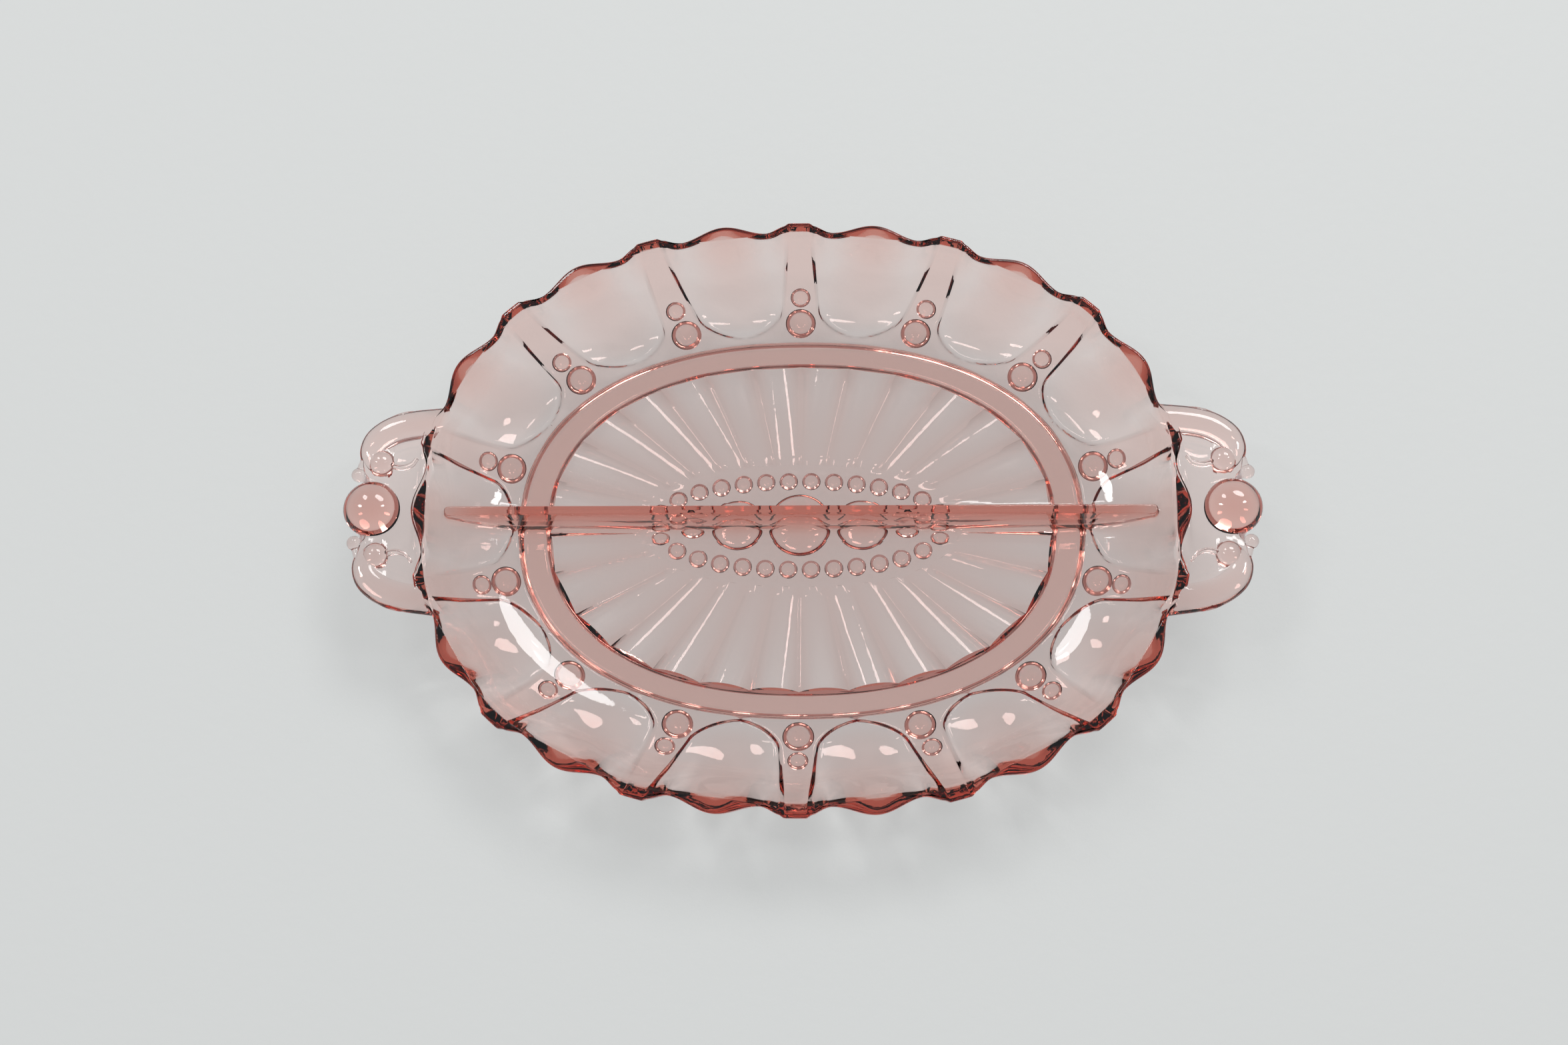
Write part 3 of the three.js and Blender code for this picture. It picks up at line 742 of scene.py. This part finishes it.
def spline_points(points, count):
    """A smooth curve through points, as Catmull-Rom."""
    points = np.array(points, float)
    padded = np.concatenate([[2 * points[0] - points[1]], points, [2 * points[-1] - points[-2]]])
    found = []
    for at in np.linspace(0, len(points) - 1, count):
        i = min(int(at), len(points) - 2)
        t = at - i
        a, b, c, d = padded[i : i + 4]
        bend = (2 * a - 5 * b + 4 * c - d) * t**2 + (3 * b - a - 3 * c + d) * t**3
        found.append(0.5 * (2 * b + (c - a) * t + bend))
    return np.array(found)


def round_bar(name, points, side, flatness, fineness):
    """A closed bar along points of (x, y, radius) in mm, with ball ends, flattened in height."""
    turns, steps = fineness
    path = spline_points(np.array(points) * np.array([1, side, 1]) * MM, steps)
    centre, radius = path[:, :2], path[:, 2]
    tangent = np.gradient(centre, axis=0)
    tangent /= np.linalg.norm(tangent, axis=1)[:, None]
    normal = np.stack([-tangent[:, 1], tangent[:, 0]], axis=1)
    rings = []
    around = np.linspace(0, 2 * math.pi, turns, endpoint=False)

    def ring(spot, across, size):
        plan = spot + across * (size * np.cos(around))[:, None]
        rings.append(np.column_stack([plan, size * flatness * np.sin(around)]))

    for angle in np.radians(BAR_END_ANGLES[::-1]):
        start = centre[0] - tangent[0] * radius[0] * math.sin(angle)
        ring(start, normal[0], radius[0] * math.cos(angle))
    for spot, across, size in zip(centre, normal, radius, strict=True):
        ring(spot, across, size)
    for angle in np.radians(BAR_END_ANGLES):
        end = centre[-1] + tangent[-1] * radius[-1] * math.sin(angle)
        ring(end, normal[-1], radius[-1] * math.cos(angle))
    vertices = np.concatenate(rings)
    faces = ring_faces(len(rings), turns).tolist()
    faces.append(list(range(turns))[::-1])
    faces.append(list(range(len(vertices) - turns, len(vertices))))
    return face_outwards(mesh_object(name, vertices, faces))


def handle_web():
    """The flat web of a handle, with its root inside the dish's wall."""
    shoulder = np.array([SHOULDER_X, HANDLE_HALF_SPAN - HANDLE_SHOULDER])
    arc = np.radians(np.linspace(*SHOULDER_ARC, SHOULDER_POINTS))
    half = [(x, HANDLE_HALF_SPAN + outside) for x, outside in WEB_ROOT]
    half += [tuple(shoulder + HANDLE_SHOULDER * np.array([math.cos(a), math.sin(a)])) for a in arc]
    half += WEB_TIP
    outline = np.array(half + [(x, -y) for x, y in half[::-1]])
    middle = outline.mean(axis=0)
    rings = []
    bevel = HANDLE_WEB / 2
    for angle in np.radians(np.linspace(-90, 90, WEB_EDGE_STEPS)):
        inset = bevel * (1 - math.cos(angle)) * WEB_ROUNDING
        away = outline - middle
        away /= np.linalg.norm(away, axis=1)[:, None]
        height = np.full(len(outline), bevel * math.sin(angle))
        rings.append(np.column_stack([outline - away * inset, height]))
    vertices = np.concatenate(rings)
    faces = ring_faces(len(rings), len(outline)).tolist()
    last = len(vertices) - len(outline)
    pairs = len(half)
    for start in (0, last):
        for i in range(pairs - 1):
            far = 2 * pairs - 1 - i
            faces.append([start + i, start + i + 1, start + far - 1, start + far])
    return face_outwards(mesh_object("handle", vertices, faces))


def compartment_space():
    """The space over the compartments, a little wider than it is: what a handle may not reach into."""
    rings = []
    for level in np.linspace(SPACE_LEVEL, INNER_FACE[2][0], SPACE_ROWS):
        plan = oval_points(wall_size(level), SHARE, SPACE_GROWTH)
        rings.append(np.column_stack([plan, np.full(STATIONS, face_height(INNER_FACE, level))]))
    rings.append(rings[-1] + np.array([0, 0, SPACE_HEIGHT]))
    vertices = np.concatenate(rings)
    faces = ring_faces(len(rings), STATIONS).tolist()
    faces.append(list(range(STATIONS)))
    faces.append(list(range(len(vertices) - STATIONS, len(vertices))))
    return face_outwards(mesh_object("space", vertices, faces))


def handle_half(handle, side):
    """Joins the scroll, its ball, the horn, the creases and the small bead of one side to a handle."""
    scroll = round_bar("scroll", SCROLL, side, SCROLL_HALF_HEIGHT, SCROLL_FINENESS)
    combine(handle, scroll, "UNION")
    combine(handle, round_bar("horn", HORN, side, HORN_HALF_HEIGHT, HORN_FINENESS), "UNION")
    x, y = SCROLL_BALL_PLACE
    combine(handle, ball((x, side * y, 0), SCROLL_BALL, SCROLL_BALL_TURNS), "UNION")
    for face in (1, -1):
        crease = round_bar("crease", CREASE, side, CREASE_HALF_HEIGHT, CREASE_FINENESS)
        crease.data.transform(Matrix.Translation((0, 0, face * HANDLE_WEB / 2)))
        combine(handle, crease, "UNION")
    x, y = HANDLE_BEAD_PLACE
    combine(handle, ball((x, side * y, 0), (HANDLE_BEAD,) * 3, HANDLE_BEAD_TURNS), "UNION")


def build_handle(side):
    """The handle on the +X side, or on the -X side where side is -1."""
    handle = handle_web()
    for half in (1, -1):
        handle_half(handle, half)
    radii = (HANDLE_PEARL, HANDLE_PEARL, HANDLE_PEARL_HALF_HEIGHT)
    combine(handle, ball((0, 0, 0), radii, HANDLE_PEARL_TURNS), "UNION")
    reach = LENGTH_END - HANDLE_PEARL - RIM[0]
    place = (
        Matrix.Translation((RIM[0], 0, RIM_HEIGHT - HANDLE_BELOW_RIM))
        @ Matrix.Rotation(-HANDLE_RISE, 4, "Y")
        @ Matrix.Translation((reach, 0, 0))
    )
    if side < 0:
        place = Matrix.Rotation(math.pi, 4, "Z") @ place
    handle.data.transform(place)
    return combine(face_outwards(handle), compartment_space(), "DIFFERENCE")


# ---- the whole dish ----------------------------------------------------------------------------------


def shade(obj):
    """Smooth shading, except over folds sharper than SHARP_ANGLE."""
    for polygon in obj.data.polygons:
        polygon.use_smooth = True
    obj.data.set_sharp_from_angle(angle=SHARP_ANGLE)


def build_dish():
    """The whole dish as one closed solid."""
    dish = build_bowl()
    combine(dish, build_divider(), "UNION")
    combine(dish, join_apart("beads", wall_pearls() + medallion_beads()), "UNION")
    for side in (1, -1):
        combine(dish, build_handle(side), "UNION")
    edit = bmesh.new()
    edit.from_mesh(dish.data)
    bmesh.ops.dissolve_degenerate(edit, dist=SLIVER_LENGTH, edges=edit.edges)
    edit.to_mesh(dish.data)
    edit.free()
    shade(dish)
    return dish


# ---- materials ---------------------------------------------------------------------------------------


def new_material(name):
    """A material, its nodes, its links and its main shader."""
    material = bpy.data.materials.new(name)
    material.use_nodes = True
    nodes, links = material.node_tree.nodes, material.node_tree.links
    return material, nodes, links, nodes["Principled BSDF"]


def noise(nodes, links, scale, detail):
    """Noise in the object's own space."""
    place = nodes.new("ShaderNodeTexCoord")
    texture = nodes.new("ShaderNodeTexNoise")
    texture.inputs["Scale"].default_value = scale
    texture.inputs["Detail"].default_value = detail
    links.new(place.outputs["Object"], texture.inputs["Vector"])
    return texture.outputs["Fac"]


def bump(nodes, links, height, distance, normal=None):
    """Relief from a noise, on top of another relief where normal is given."""
    relief_node = nodes.new("ShaderNodeBump")
    relief_node.inputs["Strength"].default_value = 1
    relief_node.inputs["Distance"].default_value = distance
    links.new(height, relief_node.inputs["Height"])
    if normal:
        links.new(normal, relief_node.inputs["Normal"])
    return relief_node.outputs["Normal"]


def roughness_from(nodes, links, shader, value, limits):
    """Roughness that follows a noise, between two limits."""
    spread = nodes.new("ShaderNodeMapRange")
    spread.inputs["To Min"].default_value = limits[0]
    spread.inputs["To Max"].default_value = limits[1]
    links.new(value, spread.inputs["Value"])
    links.new(spread.outputs["Result"], shader.inputs["Roughness"])


def math_node(nodes, links, operation, first, second):
    """Two values combined; the second is an output or a number."""
    node = nodes.new("ShaderNodeMath")
    node.operation = operation
    links.new(first, node.inputs[0])
    if isinstance(second, float):
        node.inputs[1].default_value = second
    else:
        links.new(second, node.inputs[1])
    return node.outputs["Value"]


def glass_material():
    """Pressed glass: coloured by its depth, with the faint ripple and pits of an iron mould."""
    material, nodes, links, shader = new_material("pressed pink glass")
    shader.inputs["Base Color"].default_value = (1, 1, 1, 1)
    shader.inputs["Transmission Weight"].default_value = 1
    shader.inputs["IOR"].default_value = GLASS_IOR
    absorb = nodes.new("ShaderNodeVolumeAbsorption")
    absorb.inputs["Color"].default_value = (*GLASS_ABSORPTION, 1)
    absorb.inputs["Density"].default_value = GLASS_DENSITY
    links.new(absorb.outputs["Volume"], nodes["Material Output"].inputs["Volume"])
    ripple = noise(nodes, links, RIPPLE_SCALE, RIPPLE_DETAIL)
    pits = noise(nodes, links, PIT_SCALE, PIT_DETAIL)
    wave = bump(nodes, links, ripple, RIPPLE_HEIGHT)
    links.new(bump(nodes, links, pits, PIT_HEIGHT, wave), shader.inputs["Normal"])
    roughness_from(nodes, links, shader, ripple, GLASS_ROUGHNESS)
    return material


def floor_material():
    """A matt floor with a fine grain, of an even pale level as the camera and the glass see it."""
    material, nodes, links, shader = new_material("pale floor")
    shader.inputs["Base Color"].default_value = (*FLOOR_COLOUR, 1)
    grain = noise(nodes, links, FLOOR_GRAIN_SCALE, FLOOR_GRAIN_DETAIL)
    roughness_from(nodes, links, shader, grain, FLOOR_ROUGHNESS)
    links.new(bump(nodes, links, grain, FLOOR_GRAIN_HEIGHT), shader.inputs["Normal"])
    path = nodes.new("ShaderNodeLightPath").outputs
    seen = math_node(nodes, links, "MAXIMUM", path["Is Camera Ray"], path["Is Glossy Ray"])
    through = math_node(nodes, links, "MAXIMUM", seen, path["Is Transmission Ray"])
    share = math_node(nodes, links, "MULTIPLY", through, FLOOR_GLOW_SHARE)
    glow = nodes.new("ShaderNodeEmission")
    glow.inputs["Color"].default_value = (*FLOOR_GLOW, 1)
    mix = nodes.new("ShaderNodeMixShader")
    links.new(share, mix.inputs["Fac"])
    links.new(shader.outputs["BSDF"], mix.inputs[1])
    links.new(glow.outputs["Emission"], mix.inputs[2])
    links.new(mix.outputs["Shader"], nodes["Material Output"].inputs["Surface"])
    return material


# ---- floor, light and camera -------------------------------------------------------------------------


def build_floor():
    corners = [(-1, -1), (1, -1), (1, 1), (-1, 1)]
    points = [(x * FLOOR_HALF_SIZE, y * FLOOR_HALF_SIZE, -FLOOR_GAP) for x, y in corners]
    floor = mesh_object("floor", points, [(0, 1, 2, 3)])
    floor.data.materials.append(floor_material())
    floor.cycles.is_caustics_receiver = True


def build_lamp(name, place, size, watts):
    data = bpy.data.lights.new(name, "AREA")
    data.shape = "ELLIPSE"
    data.size, data.size_y = size
    data.energy = watts
    data.cycles.is_caustics_light = True
    lamp = link_object(name, data)
    lamp.location = place
    lamp.rotation_euler = (-Vector(place)).to_track_quat("-Z", "Y").to_euler()


def build_world():
    world = bpy.data.worlds.new("studio")
    bpy.context.scene.world = world
    world.use_nodes = True
    background = world.node_tree.nodes["Background"]
    background.inputs["Color"].default_value = (*WORLD_COLOUR, 1)
    background.inputs["Strength"].default_value = WORLD_STRENGTH


def build_camera():
    """The photograph's view: almost down into the dish, from its near side."""
    data = bpy.data.cameras.new("camera")
    data.lens = CAMERA_LENS
    data.sensor_width = CAMERA_SENSOR
    camera = link_object("camera", data)
    turn = Matrix.Rotation(CAMERA_ROLL, 4, "Z")
    turn = turn @ Matrix.Rotation(CAMERA_TILT, 4, "X") @ Matrix.Rotation(CAMERA_LEAN, 4, "Y")
    camera.matrix_world = (Matrix.Translation(CAMERA_OFFSET) @ turn).inverted()
    bpy.context.scene.camera = camera


dish = build_dish()
dish.data.materials.clear()
dish.data.materials.append(glass_material())
dish.cycles.is_caustics_caster = True
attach(dish, "root")
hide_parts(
    "base_plate", "foot_ring", "side_wall", "rim", "divider", "handle_left", "handle_right"
)

build_floor()
for lamp in LAMPS:
    build_lamp(*lamp)
build_world()
build_camera()
bpy.context.scene.view_settings.view_transform = "Standard"
bpy.context.scene.cycles.max_bounces = LIGHT_BOUNCES
bpy.context.scene.cycles.transmission_bounces = LIGHT_BOUNCES
